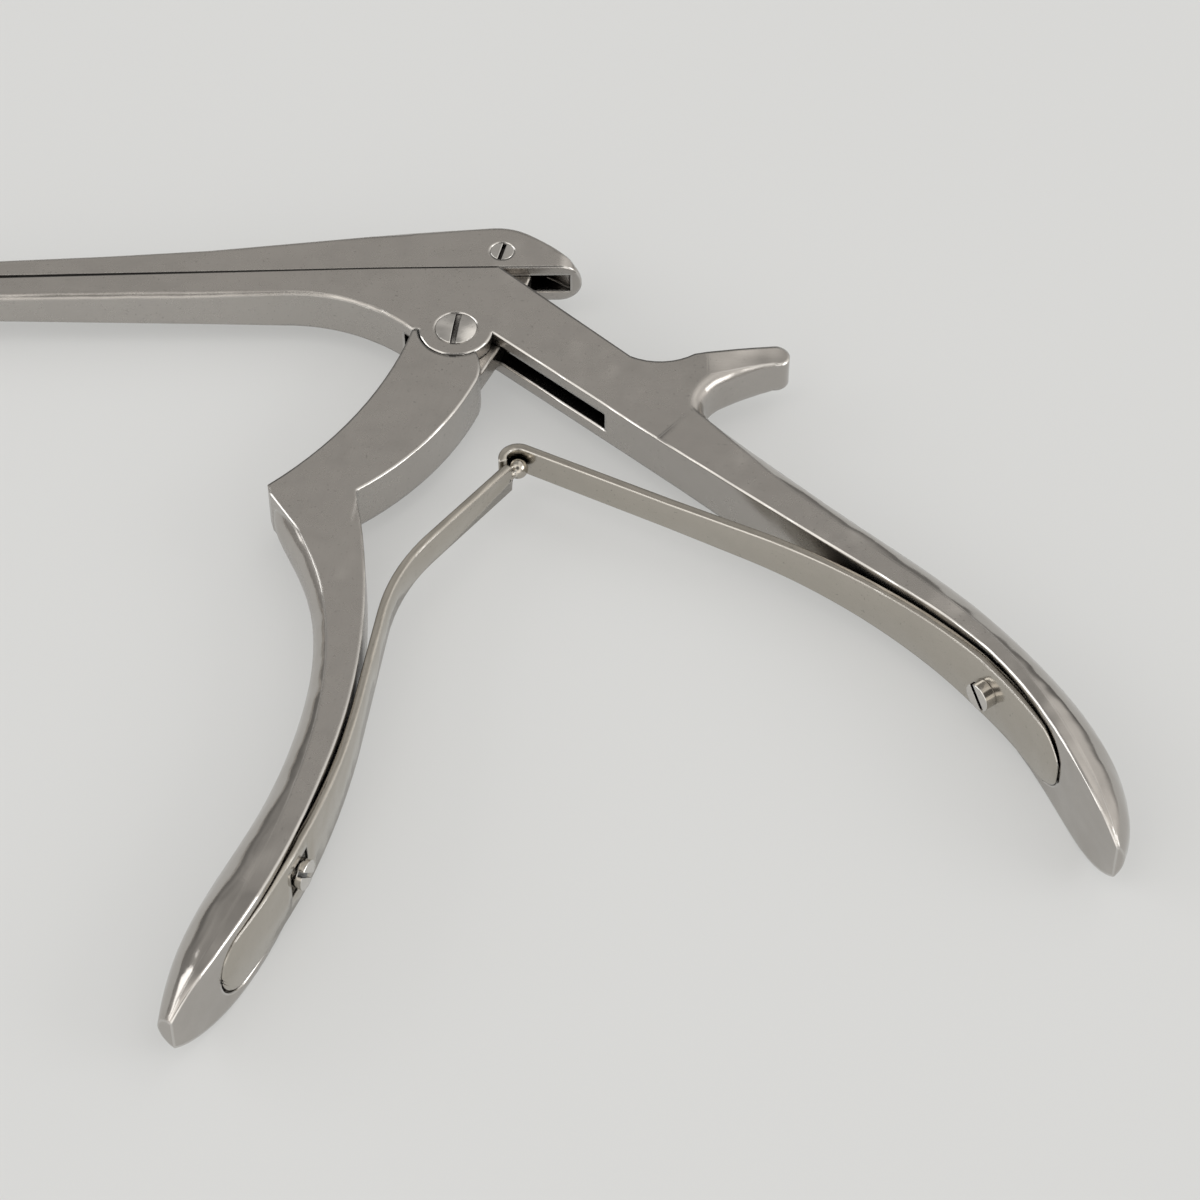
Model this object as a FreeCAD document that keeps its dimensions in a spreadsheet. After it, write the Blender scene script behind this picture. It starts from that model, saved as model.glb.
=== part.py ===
import FreeCAD, Part
import math
import os

import Sketcher

# Bone punch with a sliding upper shank, lying on its side as on an instrument tray.
# X runs along the shaft toward the handles, Y toward the top of the shaft, Z up from the tray.
# Every outline is drawn about the pivot axis, at mid-thickness, and placed from there.

V = FreeCAD.Vector
PARTS = "parts"

SIZES = [
    ("shaft_reach", 184.0, "pivot axis to the front edge of the footplate"),
    ("guide_height", 12.1, "pivot axis to the flat that the slide runs on"),
    ("guide_end", 5.9, "pivot axis to the rear end of that flat"),
    ("body_width", 7.2, "thickness of the body across the instrument"),
    ("waist_width", 5.3, "width of both shanks a third of the way out"),
    ("waist_reach", 64.0, "pivot axis to that place"),
    ("tip_width", 4.7, "width of both shanks at the tip"),
    ("taper_start", 12.0, "pivot axis to where the shanks begin to narrow"),
    ("shank_depth", 4.6, "depth of the lower shank at the throat"),
    ("waist_depth", 4.1, "depth of the lower shank at its waist"),
    ("tip_depth", 3.9, "depth of the lower shank at the tip"),
    ("shank_round", 0.8, "rounding along the bottom of the lower shank"),
    ("throat_round", 0.4, "rounding along the throat"),
    ("throat_run", 24.2, "pivot axis to where the throat meets the straight shank"),
    ("stop_reach", 6.2, "pivot axis to the stop corner of the body"),
    ("hub_radius", 5.15, "round lug about the pivot screw"),
    ("hub_gap", 0.25, "running gap between lug and front handle"),
    ("stop_gap", 0.2, "gap at the open stop"),
    ("tang_width", 3.0, "thickness of the tang on the front handle"),
    ("tang_half", 5.1, "half breadth of the tang at its rounded end"),
    ("tang_gap", 0.1, "gap on each side of the tang"),
    ("swing_angle", 36.0, "travel of the front handle"),
    ("pin_height", 15.4, "pivot axis up to the drive screw"),
    ("pin_lead", 6.4, "drive screw behind the pivot axis when open"),
    ("pin_radius", 1.1, "shank radius of the drive screw"),
    ("pin_play", 0.2, "play of the drive screw in the tang slot"),
    ("pin_head", 1.65, "head radius of the drive screw"),
    ("pivot_radius", 2.0, "shank radius of the pivot screw"),
    ("pivot_head", 2.9, "head radius of the pivot screw"),
    ("pivot_head_depth", 1.1, "depth of the sunk part of its head"),
    ("pivot_dome", 0.45, "height of the dome over its head"),
    ("screw_fit", 0.03, "gap around a screw that is tight in its hole"),
    ("turn_fit", 0.06, "gap around the pivot screw in the tang"),
    ("slot_width", 0.8, "width of a driver slot"),
    ("slot_depth", 0.7, "depth of a driver slot"),
    ("handle_slope", 42.5, "slope of the rear handle below the shaft line"),
    ("rear_straight", 74.2, "straight part of its palm face"),
    ("rear_bend", 74.5, "radius of the bent part"),
    ("rear_root_depth", 8.3, "depth of the rear handle at the body"),
    ("front_bend", 104.0, "radius of the palm face of the front handle"),
    ("front_bulge", 11.45, "pivot axis to the most rearward point of that face"),
    ("front_drop", 49.0, "pivot axis down to that point"),
    ("front_waist_depth", 6.4, "depth of the front handle at its waist"),
    ("front_beak_reach", 25.0, "pivot axis forward to the finger beak"),
    ("front_beak_drop", 29.0, "pivot axis down to the finger beak"),
    ("grip_width", 13.4, "width of both handles at the grips"),
    ("spur_length", 11.3, "valley to the centre of the spur's round end"),
    ("spur_lean", 12.0, "rise of the spur above the shaft line"),
    ("spur_depth", 3.5, "depth of the thumb spur at its end"),
    ("spur_width", 4.6, "width of the thumb spur at its end"),
    ("spur_round", 2.0, "rounding along the underside of the spur"),
    ("slide_gap", 0.08, "running gap under the slide"),
    ("slide_width", 6.6, "width of the slide at its tail"),
    ("slide_front_height", 3.4, "height of the slide over the jaw"),
    ("slide_back_height", 8.3, "height of the slide over the drive screw"),
    ("slide_tail", 17.6, "pivot axis to the tail of the slide when open"),
    ("slide_round", 0.7, "rounding along the top of the slide at its tail"),
    ("jaw_round", 1.9, "rounding along the top of the slide at its nose"),
    ("rail_neck", 1.4, "neck of the T rail under the slide"),
    ("rail_head", 2.6, "head of the T rail"),
    ("rail_neck_depth", 0.9, "depth of its neck"),
    ("rail_head_depth", 0.9, "depth of its head"),
    ("rail_gap", 0.08, "gap around the rail in its groove"),
    ("rail_length", 130.0, "length of the rail"),
    ("groove_front", 8.0, "end of the groove behind the footplate edge"),
    ("bite_tilt", 40.0, "forward tilt of the cutting faces"),
    ("footplate", 1.5, "thickness of the footplate"),
    ("bite_gap", 0.08, "gap between the cutting faces when shut"),
    ("cup_wall", 0.75, "rim around the cutting cup"),
    ("cup_depth", 0.5, "depth of the cup in the footplate"),
    ("bore_depth", 5.0, "depth of the hollow in the slide nose"),
    ("leaf_thickness", 1.15, "thickness of both leaf springs"),
    ("leaf_tip_width", 4.4, "width of a leaf at its tip"),
    ("leaf_foot_width", 9.6, "width of a leaf at its foot"),
    ("leaf_gap", 0.25, "gap between a leaf and the handle"),
    ("ball_height", 23.3, "pivot axis down to the ball joint"),
    ("ball_lead", 8.5, "ball joint behind the pivot axis"),
    ("ball_radius", 1.4, "radius of the ball"),
    ("ball_gap", 0.1, "gap between ball and curl"),
    ("ball_neck", 0.65, "radius of the neck behind the ball"),
    ("leaf_screw_shank", 1.15, "shank radius of a leaf screw"),
    ("leaf_screw_head", 2.0, "head radius of a leaf screw"),
    ("leaf_screw_height", 1.6, "head height of a leaf screw"),
    ("leaf_screw_length", 3.2, "length of a leaf screw in the handle"),
    ("leaf_seat", 0.6, "thickness left under the head of the front leaf screw"),
    ("leaf_relief", 95.0, "radius in which the rear leaf leaves its handle"),
    ("leaf_elbow", 28.0, "radius of the elbow in the front leaf"),
    ("rear_foot", 105.5, "palm length from the body to the foot of the rear leaf"),
    ("rear_screw", 89.5, "palm length from the body to the rear leaf screw"),
    ("leaf_straight", 17.0, "straight part of the front leaf before its elbow"),
    ("front_leave", 10.0, "angle on the palm arc where the front leaf leaves the handle"),
    ("front_foot", 33.4, "angle on the palm arc at the foot of the front leaf"),
    ("front_screw", 23.3, "angle on the palm arc at the front leaf screw"),
]

# Rear handle: place along the palm face, share of the flare, depth, height of the flat side,
# and how far the palm face has risen to the level of the leaf's foot.
REAR_STATIONS = [
    (20.0, -0.02, 0.99, 0.92, 0.0),
    (32.0, 0.01, 1.00, 0.88, 0.0),
    (46.0, 0.15, 0.95, 0.64, 0.0),
    (62.0, 0.36, 0.87, 0.48, 0.0),
    (78.0, 0.60, 0.79, 0.38, 0.0),
    (95.0, 0.88, 0.72, 0.28, 0.35),
    (108.0, 0.98, 0.66, 0.22, 0.85),
    (116.5, 0.62, 0.44, 0.20, 0.55),
    (120.7, -0.20, 0.17, 0.20, -0.1),
]

# Front handle: angle on the palm arc, then the same four.
FRONT_STATIONS = [
    (11.0, -0.03, 1.73, 0.82, 0.0),
    (6.5, 0.01, 1.58, 0.80, 0.0),
    (2.0, 0.06, 1.24, 0.78, 0.0),
    (-4.0, 0.16, 1.02, 0.70, 0.0),
    (-12.0, 0.40, 1.00, 0.54, 0.0),
    (-21.0, 0.72, 1.07, 0.38, 0.2),
    (-29.0, 0.97, 1.08, 0.27, 0.8),
    (-34.5, 0.76, 0.76, 0.22, 1.0),
    (-37.4, 0.16, 0.38, 0.22, 1.0),
    (-38.6, -0.35, 0.17, 0.22, 1.0),
]

# Front part of the slide: distance before the pivot axis, height over the guide, rounding on top.
SLIDE_STATIONS = [
    (12.0, 6.9, 0.7),
    (35.0, 4.7, 0.75),
    (50.0, 4.0, 0.85),
    (66.0, 3.6, 1.05),
    (92.0, 3.4, 1.7),
]

doc = FreeCAD.newDocument("bone_punch")
sheet = doc.addObject("Spreadsheet::Sheet", "sizes")
for row, (name, number, meaning) in enumerate(SIZES, start=1):
    sheet.set("A%d" % row, name)
    sheet.set("B%d" % row, str(number))
    sheet.set("C%d" % row, meaning)
    sheet.setAlias("B%d" % row, name)
doc.recompute()


class Sizes:
    """Reads a size from the sheet by its alias."""

    def __getattr__(self, name):
        return float(sheet.get(name))


size = Sizes()


def toward(degrees):
    """Unit vector in the instrument's plane."""
    return V(math.cos(math.radians(degrees)), math.sin(math.radians(degrees)), 0)


def bearing(vector):
    """Direction of a vector in the instrument's plane, in degrees."""
    return math.degrees(math.atan2(vector.y, vector.x))


def left_of(direction):
    """Unit vector a quarter turn to the left."""
    return V(-direction.y, direction.x, 0)


def origin_plane(body, role):
    for feature in body.Origin.OriginFeatures:
        if feature.Role == role:
            return feature
    raise RuntimeError("no plane " + role)


def new_body(name):
    """A body whose placement sets the pivot axis over the middle of the tray."""
    body = doc.addObject("PartDesign::Body", name)
    body.Label = name
    rear = "sizes.rear_straight * cos(sizes.handle_slope * 1 deg) + sizes.hub_radius + 0.3355 * sizes.rear_bend"
    low = "sizes.front_drop + 0.632 * sizes.front_bend"
    high = "sizes.guide_height + sizes.slide_gap + sizes.slide_back_height"
    body.setExpression("Placement.Base.x", "(sizes.shaft_reach - (%s)) / 2" % rear)
    body.setExpression("Placement.Base.y", "(%s - (%s)) / 2" % (low, high))
    body.setExpression("Placement.Base.z", "sizes.grip_width / 2")
    return body


def new_sketch(body, name, role="XY_Plane", offset=None):
    sketch = body.newObject("Sketcher::SketchObject", name)
    sketch.AttachmentSupport = [(origin_plane(body, role), "")]
    sketch.MapMode = "FlatFace"
    if offset is not None:
        sketch.AttachmentOffset = offset
    return sketch


def trace(sketch, start, steps):
    """Closed outline of lines ("to", end) and arcs ("via", middle, end)."""
    here = start
    first = sketch.GeometryCount
    for step in steps:
        if step[0] == "via":
            curve = Part.Arc(here, step[1], step[2])
        else:
            curve = Part.LineSegment(here, step[1])
        sketch.addGeometry(curve, False)
        here = step[-1]
    if (here - start).Length > 1e-6:
        sketch.addGeometry(Part.LineSegment(here, start), False)
    return first


def smooth_run(start, heading, points):
    """Arcs through the points, each leaving in the direction that the last one arrived in."""
    steps = []
    for end in points:
        chord = end - start
        lean = bearing(chord) - heading
        middle = (start + end) / 2 - left_of(chord) * (math.tan(math.radians(lean / 2)) / 2)
        steps.append(("via", middle, end))
        heading += 2 * lean
        start = end
    return steps


def ring(sketch, centre, radius_name, grow=0.0):
    """A circle whose radius follows a size in the sheet."""
    index = sketch.addGeometry(Part.Circle(centre, V(0, 0, 1), 1.0), False)
    sketch.addConstraint(Sketcher.Constraint("Radius", index, getattr(size, radius_name) + grow))
    label = "radius%d" % index
    sketch.renameConstraint(sketch.ConstraintCount - 1, label)
    sketch.setExpression("Constraints." + label, "sizes.%s + %r" % (radius_name, grow))
    return index


def pad(body, name, sketch, length, both=True):
    feature = body.newObject("PartDesign::Pad", name)
    feature.Profile = sketch
    feature.SideType = "Symmetric" if both else "One side"
    feature.setExpression("Length", length)
    doc.recompute()
    return feature


def cut(body, name, sketch, length=None, both=True, reverse=False):
    """A pocket, with its volume compared so that it can't miss the solid."""
    before = body.Shape.Volume
    feature = body.newObject("PartDesign::Pocket", name)
    feature.Profile = sketch
    feature.SideType = "Symmetric" if both else "One side"
    if length is None:
        feature.Type = "ThroughAll"
    else:
        feature.setExpression("Length", length)
    feature.Reversed = reverse
    doc.recompute()
    if body.Shape.Volume > before - 1e-4:
        raise RuntimeError(name + " cuts nothing")
    return feature


def soften(body, name, base, radius_name, wanted):
    """Rounds the edges of the last feature that the test picks."""
    doc.recompute()
    names = []
    for index, edge in enumerate(base.Shape.Edges, start=1):
        if wanted(edge):
            names.append("Edge%d" % index)
    if not names:
        raise RuntimeError(name + " finds no edge")
    feature = body.newObject("PartDesign::Fillet", name)
    feature.Base = (base, names)
    feature.setExpression("Radius", "sizes." + radius_name)
    doc.recompute()
    return feature


def loft(body, name, sections, ruled=False):
    feature = body.newObject("PartDesign::AdditiveLoft", name)
    feature.Profile = sections[0]
    feature.Sections = sections[1:]
    feature.Ruled = ruled
    doc.recompute()
    return feature


def across(place, outward):
    """Sketch placement with its X along the instrument's width and its Y outward."""
    along = V(0, 0, 1).cross(outward)
    return FreeCAD.Placement(place, FreeCAD.Rotation(V(0, 0, 1), outward, along, "XYZ"))


def grip_section(body, name, foot, outward, width, depth, side):
    """One section of a handle: flat on the palm side, round on the back."""
    sketch = new_sketch(body, name, offset=across(foot, outward))
    half = width / 2
    trace(sketch, V(-half, 0, 0), [
        ("to", V(half, 0, 0)),
        ("to", V(half, side * depth, 0)),
        ("via", V(0, depth, 0), V(-half, side * depth, 0)),
    ])
    return sketch


# Motion of the drive screw: it stays at one height while the tang swings.
open_angle = math.degrees(math.atan2(size.pin_height, size.pin_lead))
shut_angle = open_angle + size.swing_angle
pin_distance = math.hypot(size.pin_height, size.pin_lead)
travel = size.pin_lead - size.pin_height / math.tan(math.radians(shut_angle))

# Palm face of the rear handle: a straight run and an arc.
rear_direction = toward(-size.handle_slope)
rear_outward = left_of(rear_direction)
rear_start = toward(-10.0) * size.hub_radius
rear_bend_start = rear_start + rear_direction * size.rear_straight
rear_centre = rear_bend_start - rear_outward * size.rear_bend

# Palm face of the front handle: one arc, bulging toward the rear.
front_centre = V(-size.front_bulge - size.front_bend, -size.front_drop, 0)

leaf_rise = size.leaf_gap + size.leaf_thickness
ball_centre = V(size.ball_lead, -size.ball_height, 0)


def rear_palm(place):
    """Point and outward direction on the rear palm face, by length from the body."""
    if place <= size.rear_straight:
        return rear_start + rear_direction * place, rear_outward
    turned = bearing(rear_outward) - math.degrees((place - size.rear_straight) / size.rear_bend)
    return rear_centre + toward(turned) * size.rear_bend, toward(turned)


def front_palm(degrees):
    """Point and outward direction on the front palm face, by angle on its arc."""
    return front_centre + toward(degrees) * size.front_bend, toward(degrees) * -1


def grip_flare(share):
    return size.body_width + (size.grip_width - size.body_width) * share


def cheek_half(reach, rear_half):
    """Half width of a shank between the body and its waist."""
    share = (reach - size.taper_start) / (size.waist_reach - size.taper_start)
    return rear_half + (size.waist_width / 2 - rear_half) * share


def shank_section(body, name, x, half, flat, far, r):
    """Section of a shank: flat at one height, rounded along both edges at the other."""
    sketch = new_sketch(body, name, "YZ_Plane", FreeCAD.Placement(V(0, 0, x), FreeCAD.Rotation()))
    k = r * (1 - math.sqrt(0.5))
    inward = 1 if far < flat else -1
    trace(sketch, V(flat, -half, 0), [
        ("to", V(flat, half, 0)),
        ("to", V(far + r * inward, half, 0)),
        ("via", V(far + k * inward, half - k, 0), V(far, half - r, 0)),
        ("to", V(far, -half + r, 0)),
        ("via", V(far + k * inward, -half + k, 0), V(far + r * inward, -half, 0)),
        ("to", V(flat, -half, 0)),
    ])
    return sketch


def round_top(body, name, top, start, length):
    """Takes the two top corners off the jaw, seen from the front."""
    place = FreeCAD.Placement(V(0, 0, start), FreeCAD.Rotation())
    sketch = new_sketch(body, name + "_end", "YZ_Plane", place)
    half = size.tip_width / 2
    r = 0.42 * size.tip_width
    k = r * (1 - math.sqrt(0.5))
    for side in (1, -1):
        trace(sketch, V(top + 0.5, (half + 0.5) * side, 0), [
            ("to", V(top + 0.5, (half - r) * side, 0)),
            ("to", V(top, (half - r) * side, 0)),
            ("via", V(top - k, (half - k) * side, 0), V(top - r, half * side, 0)),
            ("to", V(top - r, (half + 0.5) * side, 0)),
        ])
    return cut(body, name, sketch, repr(length), both=False, reverse=True)


def narrow_half(reach, rear_half):
    """Half width of either shank, from the body out to the jaw."""
    if reach < size.waist_reach:
        return cheek_half(reach, rear_half)
    share = min(1.0, (reach - size.waist_reach) / (-foot_front - 4.5 - size.waist_reach))
    return (size.waist_width + (size.tip_width - size.waist_width) * share) / 2


def bite_line(height):
    """How far forward the cutting faces lean at a height over the guide."""
    return height * math.tan(math.radians(size.bite_tilt))


# Front and rear faces of the footplate where they meet the guide.
foot_front = -size.shaft_reach + bite_line(size.slide_front_height)
foot_face = foot_front + size.footplate / math.cos(math.radians(size.bite_tilt))


groove_start = -size.shaft_reach + size.groove_front
groove_end = groove_start + size.rail_length + travel + 2.0

# Upper end of the hollow between thumb spur and rear handle.
valley = V(33.4, -7.4, 0)


def on_throat(edge, bottom):
    """Picks the curved edges of the throat on both sides of the body."""
    box = edge.BoundBox
    in_throat = box.XMin > -size.throat_run - 0.1 and box.XMax < -size.stop_reach + 0.1
    return in_throat and box.YMin > -0.1 and box.YMax < bottom + 0.1 and box.XLength > 1 and box.YLength > 0.1


def under_spur(edge):
    """Picks the edges along the underside of the spur and into the hollow."""
    box = edge.BoundBox
    outside = box.XMin > valley.x and max(box.XLength, box.YLength) > 0.5
    return outside and box.YMax < valley.y + 0.9 and box.ZMin * box.ZMax > 0 and box.XLength > 0.01


def build_frame():
    """Lower shank, body, thumb spur and rear handle: one forging."""
    body = new_body("frame")
    guide = size.guide_height
    bottom = guide - size.shank_depth

    throat_radius = ((size.throat_run - size.stop_reach) ** 2 + bottom ** 2) / (2 * bottom)
    throat_centre = V(-size.throat_run, bottom - throat_radius, 0)
    throat_mid = throat_centre + toward(66.0) * throat_radius
    slope_foot = V(24.1, -5.8, 0)
    spur_root = V(33.0, -5.5, 0)
    along = toward(size.spur_lean)
    spur_end = valley + along * size.spur_length
    tip = size.spur_depth / 2
    under_end = spur_end - left_of(along) * tip
    plate_end, _ = rear_palm(32.5)

    sketch = new_sketch(body, "body_side")
    trace(sketch, V(-size.throat_run, guide, 0), [
        ("to", V(size.guide_end, guide, 0)),
        ("to", slope_foot),
        ("via", V(28.3, -6.9, 0), spur_root),
        ("to", spur_end + left_of(along) * tip),
        ("via", spur_end + along * tip, under_end),
    ] + smooth_run(under_end, size.spur_lean + 186, [
        valley + V(3.5, -2.9, 0),
        valley + V(0.65, -6.5, 0),
        plate_end + rear_outward * size.rear_root_depth,
    ]) + [
        ("to", plate_end),
        ("to", rear_start),
        ("via", toward(-93.0) * size.hub_radius, toward(181.0) * size.hub_radius),
        ("to", V(-size.stop_reach, 0, 0)),
        ("via", throat_mid, V(-size.throat_run, bottom, 0)),
    ])
    plate = pad(body, "body_plate", sketch, "sizes.body_width")
    soften(body, "spur_edges", plate, "spur_round", under_spur)
    sketch = new_sketch(body, "plate_plan", "XZ_Plane")
    half = size.body_width / 2
    spur_half = size.spur_width / 2
    for side in (1, -1):
        trace(sketch, V(-size.throat_run - 1, (half + 1) * side, 0), [
            ("to", V(-size.throat_run - 1, cheek_half(size.throat_run + 1, half) * side, 0)),
            ("to", V(-size.taper_start, half * side, 0)),
            ("to", V(-size.taper_start, (half + 1) * side, 0)),
        ])
        trace(sketch, V(valley.x + 1, (half + 1) * side, 0), [
            ("to", V(valley.x + 1, (half + 0.02) * side, 0)),
            ("via", V(spur_end.x - 4, (spur_half + half * 1.6) / 2.6 * side, 0),
             V(spur_end.x + 3, (spur_half - 0.2) * side, 0)),
            ("to", V(spur_end.x + 3, (half + 1) * side, 0)),
        ])
    plate = cut(body, "plate_taper", sketch)
    soften(body, "throat_edges", plate, "throat_round", lambda edge: on_throat(edge, bottom))

    sections = []
    for index, (reach, half, depth, r) in enumerate([
        (size.throat_run, cheek_half(size.throat_run, size.body_width / 2), size.shank_depth, size.throat_round),
        (size.throat_run + 10, cheek_half(size.throat_run + 10, size.body_width / 2), size.shank_depth, size.shank_round),
        (size.waist_reach, size.waist_width / 2, size.waist_depth, size.shank_round),
        (-foot_front - 4.5, size.tip_width / 2, size.tip_depth, size.shank_round),
        (-foot_front, size.tip_width / 2, 0.4 * size.tip_depth, size.shank_round),
    ]):
        sections.append(shank_section(body, "shank_%d" % index, -reach, half, guide, guide - depth, r))
    loft(body, "shank", sections, ruled=True)

    top = guide + size.slide_front_height
    sketch = new_sketch(body, "footplate_side")
    trace(sketch, V(foot_face, guide, 0), [
        ("to", V(foot_face, guide - 1.0, 0)),
        ("to", V(foot_front + 0.8, guide - 1.0, 0)),
        ("to", V(foot_front, guide, 0)),
        ("to", V(-size.shaft_reach, top, 0)),
        ("to", V(foot_face - bite_line(size.slide_front_height), top, 0)),
    ])
    pad(body, "footplate", sketch, "sizes.tip_width")
    round_top(body, "footplate_top", top, -size.shaft_reach - 1, 6.0)

    sections = []
    for index, (place, flare, depth, side, rise) in enumerate(REAR_STATIONS):
        foot, outward = rear_palm(place)
        foot = foot - outward * (rise * leaf_rise)
        depth = depth + rise * leaf_rise / size.rear_root_depth
        sections.append(grip_section(body, "rear_grip_%d" % index, foot, outward,
                                     grip_flare(flare), size.rear_root_depth * depth, side))
    loft(body, "rear_handle", sections)

    gap = size.tang_width / 2 + size.tang_gap
    inner_end, _ = rear_palm(20.8)
    sketch = new_sketch(body, "tang_slot_side")
    trace(sketch, V(-9.5, guide + 1, 0), [
        ("to", V(-9.0, 8.0, 0)),
        ("to", V(-7.1, 0.4, 0)),
        ("to", V(-7.0, -8.0, 0)),
        ("to", inner_end - rear_outward * 6),
        ("to", inner_end + rear_outward * 4.5),
        ("to", V(10.8, 0.9, 0)),
        ("to", V(12.2, 7.5, 0)),
        ("to", V(8.5, guide + 1, 0)),
    ])
    cut(body, "tang_slot", sketch, "sizes.tang_width + 2 * sizes.tang_gap")

    neck = size.rail_neck / 2 + size.rail_gap
    head = size.rail_head / 2 + size.rail_gap
    shelf = guide - size.rail_neck_depth
    floor = shelf - size.rail_head_depth - 2 * size.rail_gap
    sketch = rail_profile(body, "groove", groove_end, neck, head, guide + 0.5, shelf, floor)
    cut(body, "groove", sketch, repr(groove_end - groove_start), both=False)

    sketch = new_sketch(body, "pivot_hole_edge")
    ring(sketch, V(0, 0, 0), "pivot_radius", size.screw_fit)
    cut(body, "pivot_hole", sketch)
    countersink = FreeCAD.Placement(V(0, 0, size.body_width / 2), FreeCAD.Rotation())
    sketch = new_sketch(body, "pivot_sink_edge", offset=countersink)
    ring(sketch, V(0, 0, 0), "pivot_head", size.screw_fit)
    cut(body, "pivot_sink", sketch, "sizes.pivot_head_depth + sizes.screw_fit", both=False)

    recess(body, "leaf_recess", rear_palm, size.rear_straight + 2, size.rear_foot + size.leaf_gap)
    screw_hole(body, *rear_palm(size.rear_screw))

    cup = bite_placement(foot_face, guide)
    sketch = new_sketch(body, "cup_edge", offset=cup)
    cup_outline(sketch)
    cut(body, "cup", sketch, "sizes.cup_depth", both=False)
    return body


def rail_profile(body, name, end, neck, head, top, shelf, floor):
    """T-shaped profile across the shaft, used for the groove and the rail."""
    place = FreeCAD.Placement(V(0, 0, end), FreeCAD.Rotation())
    sketch = new_sketch(body, name + "_end", "YZ_Plane", place)
    trace(sketch, V(top, neck, 0), [
        ("to", V(shelf, neck, 0)),
        ("to", V(shelf, head, 0)),
        ("to", V(floor, head, 0)),
        ("to", V(floor, -head, 0)),
        ("to", V(shelf, -head, 0)),
        ("to", V(shelf, -neck, 0)),
        ("to", V(top, -neck, 0)),
    ])
    return sketch


def bite_placement(x, y):
    """Sketch placement on a cutting face: X across, Y up the face, normal to the rear."""
    up = toward(90.0 + size.bite_tilt)
    return FreeCAD.Placement(V(x, y, 0), FreeCAD.Rotation(V(0, 0, -1), up, up.cross(V(0, 0, 1)), "XYZ"))


def cup_outline(sketch):
    """Rounded cutting ring, in from the rim by the cup wall."""
    half = size.tip_width / 2 - size.cup_wall
    low = size.cup_wall * 0.7
    top = size.slide_front_height / math.cos(math.radians(size.bite_tilt)) - size.cup_wall
    trace(sketch, V(-half, low, 0), [
        ("to", V(half, low, 0)),
        ("to", V(half, top - half * 0.8, 0)),
        ("via", V(0, top, 0), V(-half, top - half * 0.8, 0)),
    ])


def recess(body, name, palm, start, end):
    """Seat for the foot of a leaf: milled down to the palm face proper, round at its end."""
    middle = (start + end) / 2
    cutter = doc.addObject("PartDesign::Body", body.Label + "_cutter")
    sketch = new_sketch(cutter, name + "_side")
    trace(sketch, palm(start)[0], [
        ("via", palm(middle)[0], palm(end)[0]),
        ("to", palm(end)[0] - palm(end)[1] * 4),
        ("via", palm(middle)[0] - palm(middle)[1] * 4, palm(start)[0] - palm(start)[1] * 4),
    ])
    pad(cutter, name + "_block", sketch, "sizes.leaf_foot_width + 4 * sizes.leaf_gap")
    foot, outward = palm(end)
    direction = left_of(outward) * (-1 if left_of(outward).dot(foot - palm(start)[0]) < 0 else 1)
    place = FreeCAD.Placement(foot, FreeCAD.Rotation(direction, V(0, 0, 1), direction.cross(V(0, 0, 1)), "XYZ"))
    half = size.leaf_foot_width / 2 + 2 * size.leaf_gap
    sketch = new_sketch(cutter, name + "_plan", offset=place)
    for side in (1, -1):
        trace(sketch, V(-half * 0.8, (half + 1) * side, 0), past_foot(0.0, half, side))
    cut(cutter, name + "_end", sketch)
    milled = body.newObject("PartDesign::Boolean", name)
    milled.Type = "Cut"
    milled.setObjects([cutter])
    doc.recompute()


def past_foot(reach, half, side):
    """Outline steps past the round end of a leaf's foot, on one side of it."""
    return [
        ("to", V(reach - half * 0.8, half * side, 0)),
        ("via", V(reach - half * 0.27, half * 0.72 * side, 0), V(reach + 0.02, 0.3 * side, 0)),
        ("to", V(reach + 4, 0.3 * side, 0)),
        ("to", V(reach + 4, (half + 1) * side, 0)),
    ]


def facing_palm(point, outward, height):
    """Sketch placement over the palm face, so that a pocket from it cuts into the handle."""
    sideways = V(0, 0, 1).cross(outward)
    turn = FreeCAD.Rotation(V(0, 0, 1), sideways, outward * -1, "XYZ")
    return FreeCAD.Placement(point - outward * height, turn)


def screw_hole(body, point, outward):
    """Hole for a leaf screw, square to the palm face."""
    sketch = new_sketch(body, "screw_hole_edge", offset=facing_palm(point, outward, 3))
    ring(sketch, V(0, 0, 0), "leaf_screw_shank", size.screw_fit)
    cut(body, "screw_hole", sketch, "sizes.leaf_screw_length + 3 + 3 * sizes.screw_fit", both=False)


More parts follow.
